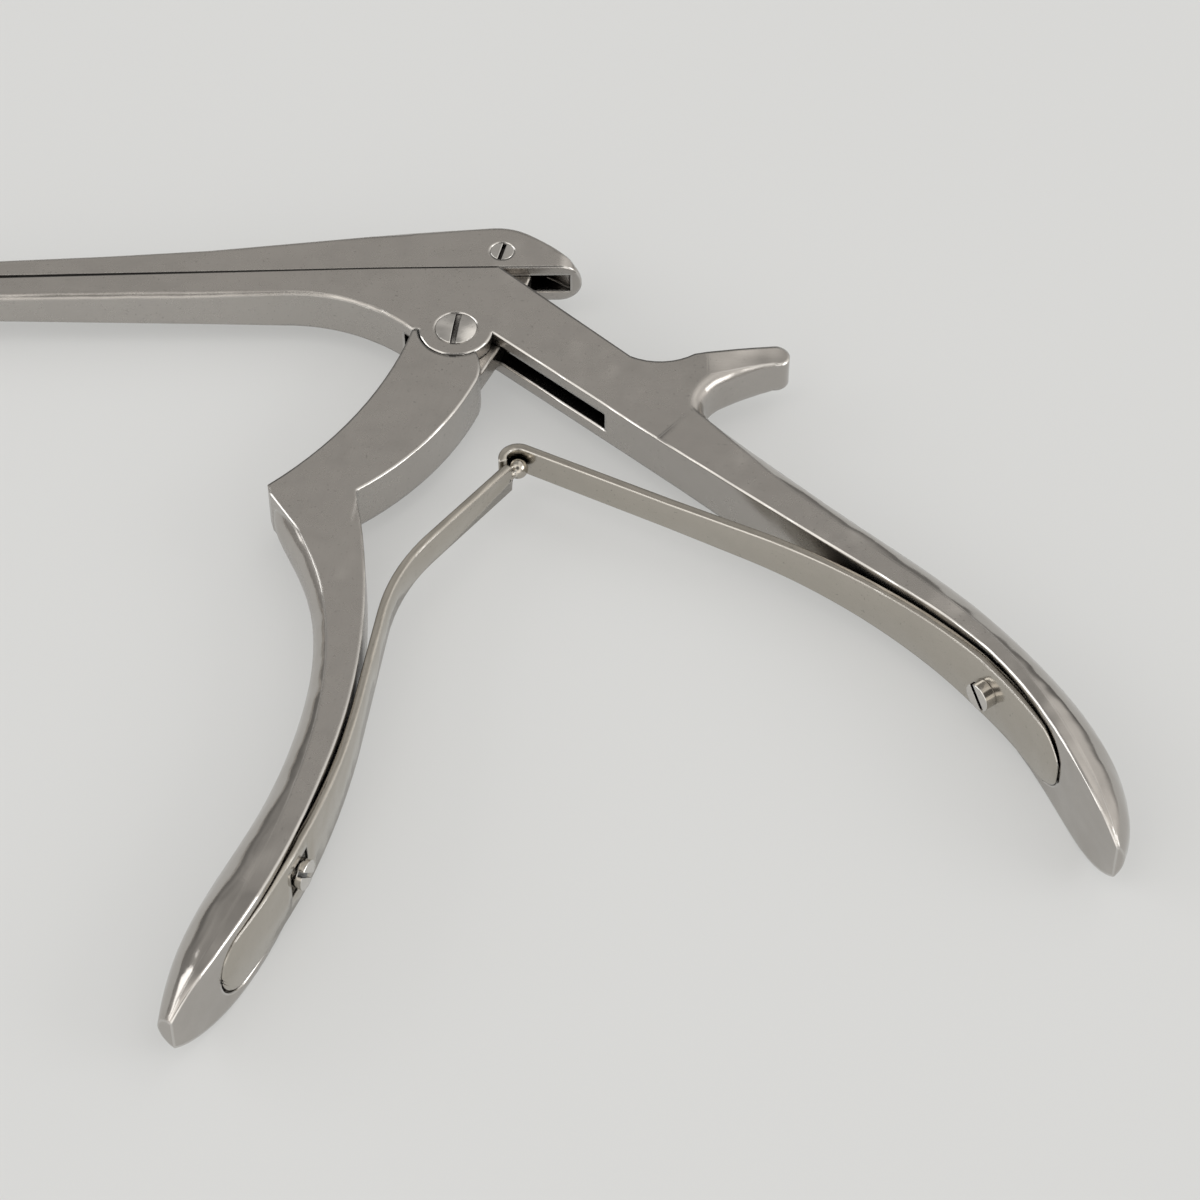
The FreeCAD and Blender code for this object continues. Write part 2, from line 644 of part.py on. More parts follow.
def build_front_handle():
    """Front handle with its finger beak, shoulder and central tang."""
    body = new_body("front_handle")
    hub = size.hub_radius + size.hub_gap
    beak = V(-size.front_beak_reach, -size.front_beak_drop, 0)
    horn = V(-size.stop_reach + 0.15, -size.stop_gap, 0)
    edge = beak - horn
    hollow = horn + edge * 0.5 + left_of(edge) * 0.075
    upper_palm, _ = front_palm(9.6)

    sketch = new_sketch(body, "block_side")
    trace(sketch, horn, [
        ("to", toward(182.2) * hub),
        ("via", toward(-120.0) * hub, toward(-59.0) * hub),
        ("via", V(3.35, -7.2, 0), V(3.0, -9.8, 0)),
        ("via", V(-4.3, -22.0, 0), V(-13.0, -30.1, 0)),
        ("to", upper_palm),
        ("to", front_palm(6.0)[0] + front_palm(6.0)[1] * 2),
        ("to", front_palm(6.0)[0] + front_palm(6.0)[1] * 7.5),
        ("to", beak + V(0.4, -1.6, 0)),
        ("to", beak),
        ("via", hollow, horn),
    ])
    pad(body, "block", sketch, "sizes.body_width")

    sections = []
    for index, (angle, flare, depth, side, rise) in enumerate(FRONT_STATIONS):
        foot, outward = front_palm(angle)
        foot = foot - outward * (rise * leaf_rise)
        deep = size.front_waist_depth * depth + rise * leaf_rise
        sections.append(grip_section(body, "front_grip_%d" % index, foot, outward, grip_flare(flare), deep, side))
    loft(body, "front_grip", sections)

    axis = toward(open_angle)
    across_axis = left_of(axis)
    end_centre = axis * (pin_distance - 2.7)
    sketch = new_sketch(body, "tang_side")
    trace(sketch, V(-6.0, -4.0, 0), [
        ("to", V(-5.7, 0.5, 0)),
        ("to", end_centre + across_axis * size.tang_half),
        ("via", end_centre + axis * size.tang_half, end_centre - across_axis * size.tang_half),
        ("to", V(6.2, -1.6, 0)),
        ("to", V(2.6, -8.6, 0)),
        ("to", V(-4.0, -14.0, 0)),
    ])
    pad(body, "tang", sketch, "sizes.tang_width")

    sketch = new_sketch(body, "pivot_bore_edge")
    ring(sketch, V(0, 0, 0), "pivot_radius", size.turn_fit)
    cut(body, "pivot_bore", sketch)

    wide = size.pin_radius + size.pin_play
    near = axis * size.pin_height
    far = axis * pin_distance
    side = across_axis * wide
    sketch = new_sketch(body, "pin_slot_edge")
    trace(sketch, near + side, [
        ("via", near - axis * wide, near - side),
        ("to", far - side),
        ("via", far + axis * wide, far + side),
    ])
    cut(body, "pin_slot", sketch)

    recess(body, "leaf_recess", lambda angle: front_palm(-angle), 9.0, size.front_foot + 0.15)
    screw_hole(body, *front_palm(-size.front_screw))
    return body


def on_top(edge, level, tail):
    """Picks the long edges over a level, short of the upright one at the tail."""
    box = edge.BoundBox
    along = box.XLength > 1.0 or box.YLength > 1.0
    return along and box.YMin > level and box.ZLength < 0.01 and box.XMax < tail + 0.1


def build_slide():
    """Upper shank: T rail underneath, clevis and drive screw at the tail, cutting nose."""
    body = new_body("slide")
    base = size.guide_height + size.slide_gap
    back_top = base + size.slide_back_height
    nose = foot_face + travel + size.bite_gap / math.cos(math.radians(size.bite_tilt))
    tail = size.slide_tail
    half = size.slide_width / 2
    root, root_height, _ = SLIDE_STATIONS[0]

    crown = V(5.0, back_top, 0)
    slope = math.degrees(math.atan2(root_height - SLIDE_STATIONS[1][1], SLIDE_STATIONS[1][0] - root))
    sketch = new_sketch(body, "tail_side")
    trace(sketch, V(-root, base, 0), [("to", V(-root, base + root_height, 0))] + smooth_run(
        V(-root, base + root_height, 0), slope,
        [crown, crown + V(5.2, -1.35, 0), crown + V(8.6, -3.9, 0), crown + V(11.6, -7.2, 0)]) + [
        ("to", V(tail, base + 0.4, 0)),
        ("to", V(tail, base, 0)),
    ])
    plate = pad(body, "tail_plate", sketch, "sizes.slide_width")
    soften(body, "tail_edges", plate, "slide_round", lambda edge: on_top(edge, base + 1, tail))

    sections = []
    stations = SLIDE_STATIONS + [(-nose + 4.0, size.slide_front_height, size.jaw_round)]
    for index, (reach, height, r) in enumerate(stations):
        wide = narrow_half(reach, half)
        sections.append(shank_section(body, "slide_%d" % index, -reach, wide, base, base + height, r))
    loft(body, "slide_shank", sections, ruled=True)

    sketch = new_sketch(body, "nose_side")
    trace(sketch, V(nose, base, 0), [
        ("to", V(nose - 8, base, 0)),
        ("to", V(nose - 8, base + 6, 0)),
        ("to", V(nose - bite_line(6), base + 6, 0)),
    ])
    cut(body, "nose_face", sketch, "sizes.slide_width")

    sketch = new_sketch(body, "tail_plan", "XZ_Plane")
    for side in (1, -1):
        trace(sketch, V(tail - half, half * side, 0), [
            ("via", V(tail - half * 0.3, half * 0.714 * side, 0), V(tail, 0.2 * side, 0)),
            ("to", V(tail + 2, 0.2 * side, 0)),
            ("to", V(tail + 2, (half + 2) * side, 0)),
            ("to", V(tail - half, (half + 2) * side, 0)),
        ])
    cut(body, "tail_round", sketch)

    neck, head = size.rail_neck / 2, size.rail_head / 2
    shelf = size.guide_height - size.rail_neck_depth - size.rail_gap
    rail_end = groove_end - 1.0
    sketch = rail_profile(body, "rail", rail_end, neck, head, base, shelf, shelf - size.rail_head_depth)
    rail = pad(body, "rail", sketch, "sizes.rail_length", both=False)
    rail.Reversed = True
    doc.recompute()

    lead = size.pin_lead
    sketch = new_sketch(body, "clevis_side")
    trace(sketch, V(lead - 7.4, base - 1, 0), [
        ("to", V(tail - 1.6, base - 1, 0)),
        ("to", V(tail - 1.6, base + 0.6, 0)),
        ("to", V(lead + 6.2, base + 2.8, 0)),
        ("to", V(lead + 4.6, base + 5.6, 0)),
        ("to", V(lead + 2.1, base + 7.15, 0)),
        ("to", V(lead - 4.9, base + 7.15, 0)),
        ("to", V(lead - 7.4, base + 4.8, 0)),
    ])
    cut(body, "clevis", sketch, "sizes.tang_width + 2 * sizes.tang_gap")

    drive = V(size.pin_lead, size.pin_height, 0)
    sketch = new_sketch(body, "drive_hole_edge")
    ring(sketch, drive, "pin_radius", size.screw_fit)
    cut(body, "drive_hole", sketch)
    sink = FreeCAD.Placement(V(0, 0, half), FreeCAD.Rotation())
    sketch = new_sketch(body, "drive_sink_edge", offset=sink)
    ring(sketch, drive, "pin_head", size.screw_fit)
    cut(body, "drive_sink", sketch, "sizes.pin_radius", both=False)

    bore = bite_placement(nose, base)
    bore.Rotation = bore.Rotation.multiply(FreeCAD.Rotation(V(0, 1, 0), 180))
    sketch = new_sketch(body, "bore_edge", offset=bore)
    cup_outline(sketch)
    cut(body, "bore", sketch, "sizes.bore_depth", both=False)
    return body


def turned_screw(name, place, shank, head, low, seat, top, dome, slot_turn):
    """A slotted screw, turned about its own Y; the slot is milled in the head."""
    body = new_body(name)
    sketch = new_sketch(body, "half_profile", offset=place)
    steps = [
        ("to", V(shank, low, 0)),
        ("to", V(shank, seat, 0)),
        ("to", V(head, seat, 0)),
        ("to", V(head, top, 0)),
    ]
    if dome > 0:
        sphere = (head ** 2 + dome ** 2) / (2 * dome)
        crown = math.sqrt(sphere ** 2 - head ** 2 / 4) - sphere + dome
        steps.append(("via", V(head / 2, top + crown, 0), V(0, top + dome, 0)))
    else:
        steps.append(("to", V(0, top, 0)))
    trace(sketch, V(0, low, 0), steps)
    turned = body.newObject("PartDesign::Revolution", "turned")
    turned.Profile = sketch
    turned.ReferenceAxis = (sketch, ["V_Axis"])
    turned.Angle = 360
    doc.recompute()

    facing = place.multiply(FreeCAD.Placement(V(0, top + dome + 1, 0), FreeCAD.Rotation(V(1, 0, 0), -90)))
    facing = facing.multiply(FreeCAD.Placement(V(0, 0, 0), FreeCAD.Rotation(V(0, 0, 1), slot_turn)))
    sketch = new_sketch(body, "driver_slot_edge", offset=facing)
    half = size.slot_width / 2 * min(1.0, head / 2.3)
    trace(sketch, V(-head - 1, -half, 0), [
        ("to", V(head + 1, -half, 0)),
        ("to", V(head + 1, half, 0)),
        ("to", V(-head - 1, half, 0)),
    ])
    cut(body, "driver_slot", sketch, "sizes.slot_depth + 1", both=False)
    return body


def upright(x, y):
    """Placement whose own Y points up out of the tray."""
    return FreeCAD.Placement(V(x, y, 0), FreeCAD.Rotation(V(1, 0, 0), V(0, 0, 1), V(0, -1, 0), "XYZ"))


def build_screws():
    half = size.body_width / 2
    turned_screw("pivot_screw", upright(0, 0), size.pivot_radius, size.pivot_head, -half,
                 half - size.pivot_head_depth, half, size.pivot_dome, 81.0)
    half = size.slide_width / 2
    turned_screw("slide_screw", upright(size.pin_lead, size.pin_height), size.pin_radius, size.pin_head, -half,
                 half - size.pin_radius + size.screw_fit, half, 0.0, 75.0)

    hollow = size.rear_bend - leaf_rise
    sag = hollow - math.sqrt(hollow ** 2 - size.leaf_screw_head ** 2)
    for name, (point, outward), lift in [
        ("rear_spring_screw", rear_palm(size.rear_screw), leaf_rise + sag),
        ("front_spring_screw", front_palm(-size.front_screw), size.leaf_gap + size.leaf_seat),
    ]:
        inward = outward * -1
        place = FreeCAD.Placement(point, FreeCAD.Rotation(V(0, 0, 1), inward, V(0, 0, 1).cross(inward), "XYZ"))
        turned_screw(name, place, size.leaf_screw_shank, size.leaf_screw_head, -size.leaf_screw_length,
                     lift, lift + size.leaf_screw_height, 0.0, 40.0)


def strip(sketch, knots, thickness):
    """Outline of a bent strip about a path of knots: kind, point, left-hand normal."""
    half = thickness / 2
    steps = []
    for sign, run in ((1, knots), (-1, knots[::-1])):
        points = [(kind, point + normal * (half * sign)) for kind, point, normal in run]
        if sign == 1:
            start = points[0][1]
        else:
            steps.append(("to", points[0][1]))
        for position in range(1, len(points)):
            kind = points[position][0] if sign == 1 else points[position - 1][0]
            if points[position][0] == "middle":
                continue
            if points[position - 1][0] == "middle":
                steps.append(("via", points[position - 1][1], points[position][1]))
            else:
                steps.append(("to", points[position][1]))
    trace(sketch, start, steps)


def arc_knots(centre, radius, start, end, side):
    """Middle and end knots of an arc whose centre lies to the left (1) or right (-1)."""
    middle = (start + end) / 2
    knots = []
    for kind, angle in (("middle", middle), ("end", end)):
        knots.append((kind, centre + toward(angle) * radius, toward(angle) * -side))
    return knots


def leaf_plan(body, name, chord_start, chord_end, foot_end):
    """Cuts a leaf to its plan: narrow at the ball, widest at the screw, round at the foot."""
    direction = chord_end - chord_start
    length = direction.Length
    direction = direction * (1 / length)
    reach = (foot_end - chord_start).dot(direction)
    place = FreeCAD.Placement(chord_start, FreeCAD.Rotation(direction, V(0, 0, 1), direction.cross(V(0, 0, 1)), "XYZ"))
    tip, foot = size.leaf_tip_width / 2, size.leaf_foot_width / 2
    sketch = new_sketch(body, name + "_plan", offset=place)
    for side in (1, -1):
        trace(sketch, V(-12, (foot + 1) * side, 0), [
            ("to", V(-12, tip * side, 0)),
            ("to", V(length * 0.3, (tip * 1.1) * side, 0)),
            ("via", V(length * 0.68, (tip + foot) * 0.49 * side, 0), V(length * 0.97, foot * side, 0)),
        ] + past_foot(reach, foot, side))
    cut(body, name, sketch)


def build_rear_leaf():
    """Rear leaf spring: foot in its seat, free run, and a curl over the ball."""
    body = new_body("rear_leaf_spring")
    radius = size.rear_bend - size.leaf_gap - size.leaf_thickness / 2
    foot = bearing(rear_palm(size.rear_foot)[1])
    leave = bearing(rear_outward) - 2.0
    start = rear_centre + toward(foot) * radius
    knots = [("end", start, toward(foot) * -1)]
    knots += arc_knots(rear_centre, radius, foot, leave, 1)
    relief_centre = rear_centre + toward(leave) * (radius - size.leaf_relief)
    curl = size.ball_radius + size.ball_gap + size.leaf_thickness / 2
    gap = ball_centre - relief_centre
    lean = bearing(gap) + math.degrees(math.acos((curl - size.leaf_relief) / gap.Length)) - 180
    knots += arc_knots(relief_centre, size.leaf_relief, leave, lean, 1)
    knots.append(("end", ball_centre + toward(lean) * curl, toward(lean) * -1))
    knots += arc_knots(ball_centre, curl, lean, 196.0, 1)
    sketch = new_sketch(body, "leaf_side")
    strip(sketch, knots, size.leaf_thickness)
    pad(body, "leaf", sketch, "sizes.leaf_foot_width")
    leaf_plan(body, "leaf_taper", ball_centre, rear_palm(size.rear_screw)[0], start)
    screw_hole(body, *rear_palm(size.rear_screw))
    return body


def build_front_leaf():
    """Front leaf spring: foot in its seat, elbow, neck and ball."""
    body = new_body("front_leaf_spring")
    radius = size.front_bend + size.leaf_gap + size.leaf_thickness / 2
    foot, leave = -size.front_foot, -size.front_leave
    start = front_centre + toward(foot) * radius
    knots = [("end", start, toward(foot) * -1)]
    knots += arc_knots(front_centre, radius, foot, leave, 1)
    corner = front_centre + toward(leave) * radius + toward(leave + 90) * size.leaf_straight
    knots.append(("end", corner, toward(leave) * -1))
    elbow_centre = corner + toward(leave) * size.leaf_elbow
    gap = ball_centre - elbow_centre
    lean = bearing(gap) + math.degrees(math.acos(size.leaf_elbow / gap.Length))
    knots += arc_knots(elbow_centre, size.leaf_elbow, leave + 180, lean, -1)
    run = toward(lean - 90)
    shoulder = ball_centre - run * (size.ball_radius + 0.5)
    knots.append(("end", shoulder, toward(lean)))
    sketch = new_sketch(body, "leaf_side")
    strip(sketch, knots, size.leaf_thickness)
    pad(body, "leaf", sketch, "sizes.leaf_foot_width")
    leaf_plan(body, "leaf_taper", ball_centre, front_palm(-size.front_screw)[0], start)

    point, outward = front_palm(-size.front_screw)
    screw_hole(body, point, outward)
    sketch = new_sketch(body, "window_edge", offset=facing_palm(point, outward, leaf_rise + 1))
    half = size.leaf_screw_head + 0.4
    trace(sketch, V(-half, -half, 0), [
        ("to", V(half, -half, 0)),
        ("to", V(half, half, 0)),
        ("to", V(-half, half, 0)),
    ])
    cut(body, "window", sketch, "1 + sizes.leaf_thickness - sizes.leaf_seat", both=False)

    neck = body.newObject("PartDesign::AdditiveCylinder", "neck")
    neck.setExpression("Radius", "sizes.ball_neck")
    neck.setExpression("Height", "sizes.ball_radius + 1")
    neck.AttachmentOffset = FreeCAD.Placement(shoulder - run * 0.5, FreeCAD.Rotation(V(0, 0, 1), run))
    neck.Placement = neck.AttachmentOffset
    doc.recompute()
    ball = body.newObject("PartDesign::AdditiveSphere", "ball")
    ball.setExpression("Radius", "sizes.ball_radius")
    ball.Placement = FreeCAD.Placement(ball_centre, FreeCAD.Rotation())
    doc.recompute()
    return body


def export_all():
    """Checks every object, then writes one file for each sub-part."""
    doc.recompute()
    for item in doc.Objects:
        if {"Invalid", "Error"} & set(item.State):
            raise RuntimeError("%s failed: %s" % (item.Name, item.State))
    os.makedirs(PARTS, exist_ok=True)
    cutters = [cutter for item in doc.Objects if item.TypeId == "PartDesign::Boolean" for cutter in item.Group]
    for body in [item for item in doc.Objects if item.TypeId == "PartDesign::Body" and item not in cutters]:
        shape = body.Shape
        if shape.isNull() or not shape.isValid() or len(shape.Solids) != 1:
            raise RuntimeError(body.Label + " is not one valid solid")
        shape.exportStep(os.path.join(PARTS, body.Label + ".step"))
        print(body.Label, "volume", round(shape.Volume, 1), "mm3")


build_frame()
build_slide()
build_front_handle()
build_rear_leaf()
build_front_leaf()
build_screws()
export_all()
print("slide travel", round(travel, 3), "mm")
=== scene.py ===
import math

import bpy
from mathutils import Matrix, Vector


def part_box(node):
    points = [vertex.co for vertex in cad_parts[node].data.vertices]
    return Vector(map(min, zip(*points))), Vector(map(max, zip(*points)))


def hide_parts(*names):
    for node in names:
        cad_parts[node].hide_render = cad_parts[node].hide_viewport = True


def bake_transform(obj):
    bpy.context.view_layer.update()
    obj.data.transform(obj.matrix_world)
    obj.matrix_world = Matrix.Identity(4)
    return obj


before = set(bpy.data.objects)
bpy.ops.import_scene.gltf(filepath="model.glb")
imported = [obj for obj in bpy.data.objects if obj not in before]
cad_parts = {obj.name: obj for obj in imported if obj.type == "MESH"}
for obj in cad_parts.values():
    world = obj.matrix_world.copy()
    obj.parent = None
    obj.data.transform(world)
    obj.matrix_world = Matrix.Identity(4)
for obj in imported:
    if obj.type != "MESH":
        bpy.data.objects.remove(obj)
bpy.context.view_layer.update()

# A bone punch of satin stainless steel, lying on its side on a pale table.
# Everything is in metres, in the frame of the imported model.

# The pivot screw's axis at mid-thickness, from which the other places are given.
screw_low, screw_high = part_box("pivot_screw")
body_low, body_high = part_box("frame")
PIVOT = Vector((
    (screw_low[0] + screw_high[0]) / 2,
    (screw_low[1] + screw_high[1]) / 2,
    (body_low[2] + body_high[2]) / 2,
))


def place(x, y, z=0.0):
    """A point given in millimetres from the pivot."""
    return PIVOT + Vector((x, y, z)) / 1000


# The joint line between shank and slide ends here on the body.
SEAM_END = place(5.9, 12.1)
SEAM_WIDTH = 0.00036

# Places that use has polished: centre, distance of full polish, distance where it ends.
REAR_HANDLE_END = (place(83.0, -86.0), 0.010, 0.034)
FRONT_HANDLE_END = (place(-33.5, -110.0), 0.010, 0.034)
SPUR_END = (place(44.0, -3.5), 0.001, 0.013)
BALL = (place(8.5, -23.3), 0.0018, 0.0030)

# The rounded edges of the leaves.
LEAF_EDGE = 0.00012
LEAF_EDGE_STEPS = 2
SHARP_ANGLE = math.radians(32)
WELD_DISTANCE = 2e-6
FLAT_ANGLE = math.radians(0.5)

# Colours of the metals, of the painted edge highlight, of the painted shade in slots and gaps and the
# dark joint line, and of the paper.
STEEL = (0.46, 0.437, 0.41)
LEAF_STEEL = (0.47, 0.44, 0.39)
SCREW_STEEL = (0.63, 0.61, 0.58)
PAINTED_EDGE_HIGHLIGHT = (0.68, 0.665, 0.64)
PAINTED_SHADE_AND_JOINT_DARK = (0.022, 0.020, 0.018)
TABLE = (0.69, 0.70, 0.705)

SATIN_ROUGHNESS = 0.27
LEAF_ROUGHNESS = 0.17
SCREW_ROUGHNESS = 0.13
POLISHED_ROUGHNESS = 0.06

# The bright band along an edge, partly a real tilt of the surface's direction and partly a painted
# highlight: its width, how far it tilts, and how steeply at most.
# RIM is how alike the plain and tilted directions are where the painted highlight and polish of the band
# begin and where they are full.
EDGE_RADIUS = 0.00055
LEAF_EDGE_RADIUS = 0.00026
SCREW_EDGE_RADIUS = 0.00016
EDGE_TILT = 0.72
EDGE_GAIN = 2.4
RIM = (0.985, 0.85)

# How upright a rounded flank faces, squared, where its polish begins and ends.
LOW_FLANK = (0.06, 0.20)
HIGH_FLANK = (0.94, 0.84)

# Repeats per metre of the patterns in the metal, and how deep they are.
# PITS is how strong the pit pattern is where a pit begins and where it is full.
GRAIN_STRETCH = (40, 900, 900)
GRAIN_SCALE = 6.0
MOTTLE_SCALE = 420.0
CLOUD_SCALE = 60.0
WAVE_SCALE = 75.0
PIT_SCALE = 2400.0
PITS = (0.66, 0.80)
WAVE_HEIGHT = 0.0012
GRAIN_HEIGHT = 0.00006

# How open a place is where the painted shade begins and where it is full, and how far around it that is
# felt.
BODY_SLOTS = (0.52, 0.30)
SLIDE_SLOTS = (0.66, 0.42)
SCREW_SLOTS = (0.80, 0.60)
GAPS = (0.50, 0.22)
SLOT_REACH = 0.0080
GAP_REACH = 0.0016

# Heights between which the painted shade of gaps starts, so that the table doesn't darken the underside.
OFF_TABLE = (0.0015, 0.0035)

# The table's shadows are lifted by this share for the camera and for reflections.
SHADOW_LIFT = 0.5
TABLE_GLOW = (0.69, 0.69, 0.675)
TABLE_SIZE = 3.0

# The room: its plain and least level, what each part adds or takes away, and its colour at level 2.
ROOM_LEVEL = 0.42
ROOM_LEAST = 0.12
WALL_ADDS = 1.10
CEILING_ADDS = 0.60
PATCHES_ADD = 0.9
DARK_WALL_TAKES = 0.4
DARK_PATCH_TAKES = 0.88
ROOM_LIGHT = (2, 1.95, 1.88, 1)

# The two windows: name, place, width and height, and power.
WINDOWS = (
    ("left_window", (-1.15, 0.22, 0.58), (1.0, 0.5), 3.1),
    ("right_window", (1.15, -0.30, 0.60), (0.8, 0.45), 2.8),
)

# The photograph's camera, turned to the right and tilted down.
CAMERA_TURN = math.radians(0.930)
CAMERA_TILT = math.radians(49.60)
CAMERA_FROM_PIVOT = Vector((0.013994, -0.370052, 0.379794))
LENS = 113.65
SENSOR = 36
NEAREST = 0.01


class Socket:
    """A shader socket that takes part in plain arithmetic."""

    def __init__(self, paint, link):
        self.paint = paint
        self.link = link

    def _maths(self, operation, *values):
        return self.paint.node("Math", {"operation": operation}, dict(enumerate(values)))

    def __add__(self, other):
        return self._maths("ADD", self, other)

    __radd__ = __add__

    def __sub__(self, other):
        return self._maths("SUBTRACT", self, other)

    def __rsub__(self, other):
        return self._maths("SUBTRACT", other, self)

    def __mul__(self, other):
        return self._maths("MULTIPLY", self, other)

    __rmul__ = __mul__

    def __truediv__(self, other):
        return self._maths("DIVIDE", self, other)

    def __rtruediv__(self, other):
        return self._maths("DIVIDE", other, self)

    def larger(self, other):
        return self._maths("MAXIMUM", self, other)

    def smaller(self, other):
        return self._maths("MINIMUM", self, other)

    def ramp(self, start, end):
        """0 at start, 1 at end, smooth between; start may be the larger."""
        settings = {"interpolation_type": "SMOOTHSTEP"}
        return self.paint.node("MapRange", settings, {"Value": self, "From Min": start, "From Max": end})


class Paint:
    """A material, or the room around it, under construction."""

    def __init__(self, owner):
        self.owner = owner
        owner.use_nodes = True
        self.tree = owner.node_tree
        self.tree.nodes.clear()

    def node(self, kind, settings=None, inputs=None, output=0):
        """Adds a node, sets it up, fills its sockets with values or links, and gives one output."""
        made = self.tree.nodes.new("ShaderNode" + kind)
        for name, value in (settings or {}).items():
            setattr(made, name, value)
        for name, value in (inputs or {}).items():
            socket = made.inputs[name]
            if isinstance(value, Socket):
                self.tree.links.new(value.link, socket)
            else:
                socket.default_value = value
        return Socket(self, made.outputs[output]) if made.outputs else None

    def mix(self, share, first, second):
        """Mixes two colours, which have the Mix node's sockets 6 and 7 and output 2."""
        inputs = {"Factor": share, 6: first, 7: second}
        return self.node("Mix", {"data_type": "RGBA"}, inputs, 2)

    def vector(self, operation, *values):
        """Vector Math with one or two vectors."""
        return self.node("VectorMath", {"operation": operation}, dict(enumerate(values)))

    def measure(self, operation, *values):
        """Vector Math whose answer is a number, such as a length."""
        return self.node("VectorMath", {"operation": operation}, dict(enumerate(values)), "Value")

    def along(self, vector, direction):
        """How far a vector reaches in a direction."""
        return self.measure("DOT_PRODUCT", vector, direction)

    def noise(self, where, scale, detail, roughness=0.5):
        """An uneven pattern about one half."""
        inputs = {"Vector": where, "Scale": scale, "Detail": detail, "Roughness": roughness}
        return self.node("TexNoise", None, inputs)

    def chamfered(self, radius):
        """The surface's direction, plain and tilted over a narrow band along each edge."""
        flat = self.node("NewGeometry", None, None, "Normal")
        tilt = self.vector("SUBTRACT", self.node("Bevel", {"samples": 8}, {"Radius": radius}), flat)
        gain = (EDGE_TILT / self.measure("LENGTH", tilt)).smaller(EDGE_GAIN)
        stretched = self.node("VectorMath", {"operation": "SCALE"}, {0: tilt, "Scale": gain})
        return flat, self.vector("NORMALIZE", self.vector("ADD", flat, stretched))

    def end(self, kind, shader):
        """Joins the last shader to the output node, and hands over what was painted."""
        self.node(kind, None, {"Surface": shader})
        return self.owner


def rgba(colour, scale=1.0):
    """A colour made lighter or darker, in the form that a socket takes."""
    return (colour[0] * scale, colour[1] * scale, colour[2] * scale, 1.0)


def painted_shade_and_joint(paint, where, slots, seam):
    """How much painted shade a place gets in deep slots and in gaps between pieces, where shade falls,
    and the dark joint line under the slide.
    """
    own_only = {"samples": 6, "only_local": True}
    # Painted shade: ambient occlusion within the piece, and from the pieces around it at rest, darkens
    # the colour.
    own_hollow = paint.node("AmbientOcclusion", own_only, {"Distance": SLOT_REACH}, "AO")
    between = paint.node("AmbientOcclusion", {"samples": 5}, {"Distance": GAP_REACH}, "AO")
    off_table = paint.along(where, (0, 0, 1)).ramp(*OFF_TABLE)
    crevice = own_hollow.ramp(*slots).larger(between.ramp(*GAPS) * off_table)
    if seam:
        from_seam = paint.vector("SUBTRACT", where, SEAM_END)
        offset = paint.along(from_seam, (0, 1, 0))
        line = (offset * offset).ramp(SEAM_WIDTH ** 2, 0.2 * SEAM_WIDTH ** 2)
        left_of_end = paint.along(from_seam, (1, 0, 0)).ramp(0.0, -0.0004)
        crevice = crevice.larger(line * left_of_end * 0.95)
    return crevice


def polish(paint, where, flat, rim, polished_at):
    """How polished a place is: edges, rounded flanks, and the places that use has polished."""
    upright = paint.along(flat, (0, 0, 1))
    lean = upright * upright
    rounds = lean.ramp(*LOW_FLANK) * lean.ramp(*HIGH_FLANK)
    shine = (rim * 0.75).larger(rounds * 0.85)
    for centre, near, far in polished_at:
        shine = shine.larger(paint.measure("DISTANCE", where, centre).ramp(far, near))
    return shine


def steel(name, colour, roughness, polished_at=(), grain_angle=0.0, edge=EDGE_RADIUS,
          slots=BODY_SLOTS, seam=False):
    """Satin steel with painted edge highlights, mottling, grinding lines, pits, and painted shade in
    slots and gaps, with a dark joint line where asked.
    """
    paint = Paint(bpy.data.materials.new(name))
    where = paint.node("TexCoord", None, None, "Object")
    turn = (0, 0, math.radians(-grain_angle))
    turned = paint.node("Mapping", None, {"Vector": where, "Rotation": turn})
    stretched = paint.node("Mapping", None, {"Vector": turned, "Scale": GRAIN_STRETCH})
    grain = paint.noise(stretched, GRAIN_SCALE, 3.0)
    mottle = paint.noise(where, MOTTLE_SCALE, 4.0, 0.65)
    cloud = paint.noise(where, CLOUD_SCALE, 2.0)
    pits = paint.noise(where, PIT_SCALE, 1.0).ramp(*PITS)
    wave = paint.noise(where, WAVE_SCALE, 2.0, 0.4)

    flat, soft = paint.chamfered(edge)
    # rim marks the edge band, which is painted in as a highlight below and also polishes the edge.
    rim = paint.along(soft, flat).ramp(*RIM)
    crevice = painted_shade_and_joint(paint, where, slots, seam)
    shine = polish(paint, where, flat, rim, polished_at)

    tone = (mottle - 0.5) * 0.22 + (cloud - 0.5) * 0.16 + (grain - 0.5) * 0.16
    shade = paint.mix(tone + 0.5, rgba(colour, 0.80), rgba(colour, 1.20))
    shade = paint.mix(pits * (1 - shine) * 0.45, shade, rgba(colour, 0.45))
    # Painted highlight: the edge band is lightened toward a bright steel colour.
    shade = paint.mix(rim * 0.6, shade, rgba(PAINTED_EDGE_HIGHLIGHT))
    # Painted shade: slots and gaps are darkened toward near black, together with the dark joint line.
    shade = paint.mix(crevice, shade, rgba(PAINTED_SHADE_AND_JOINT_DARK))
    satin = roughness + (mottle - 0.5) * 0.10 + (cloud - 0.5) * 0.10
    rough = satin * (1 - shine) + shine * POLISHED_ROUGHNESS

    waves = {"Height": wave, "Strength": 1.0, "Distance": WAVE_HEIGHT, "Normal": soft}
    ground = paint.node("Bump", None, waves)
    relief = paint.node("Bump", None, {
        "Height": grain * 0.6 + mottle * 0.4,
        "Strength": (1 - shine) * 0.22,
        "Distance": GRAIN_HEIGHT,
        "Normal": ground,
    })
    surface = {"Metallic": 1.0, "Base Color": shade, "Roughness": rough, "Normal": relief}
    return paint.end("OutputMaterial", paint.node("BsdfPrincipled", None, surface))


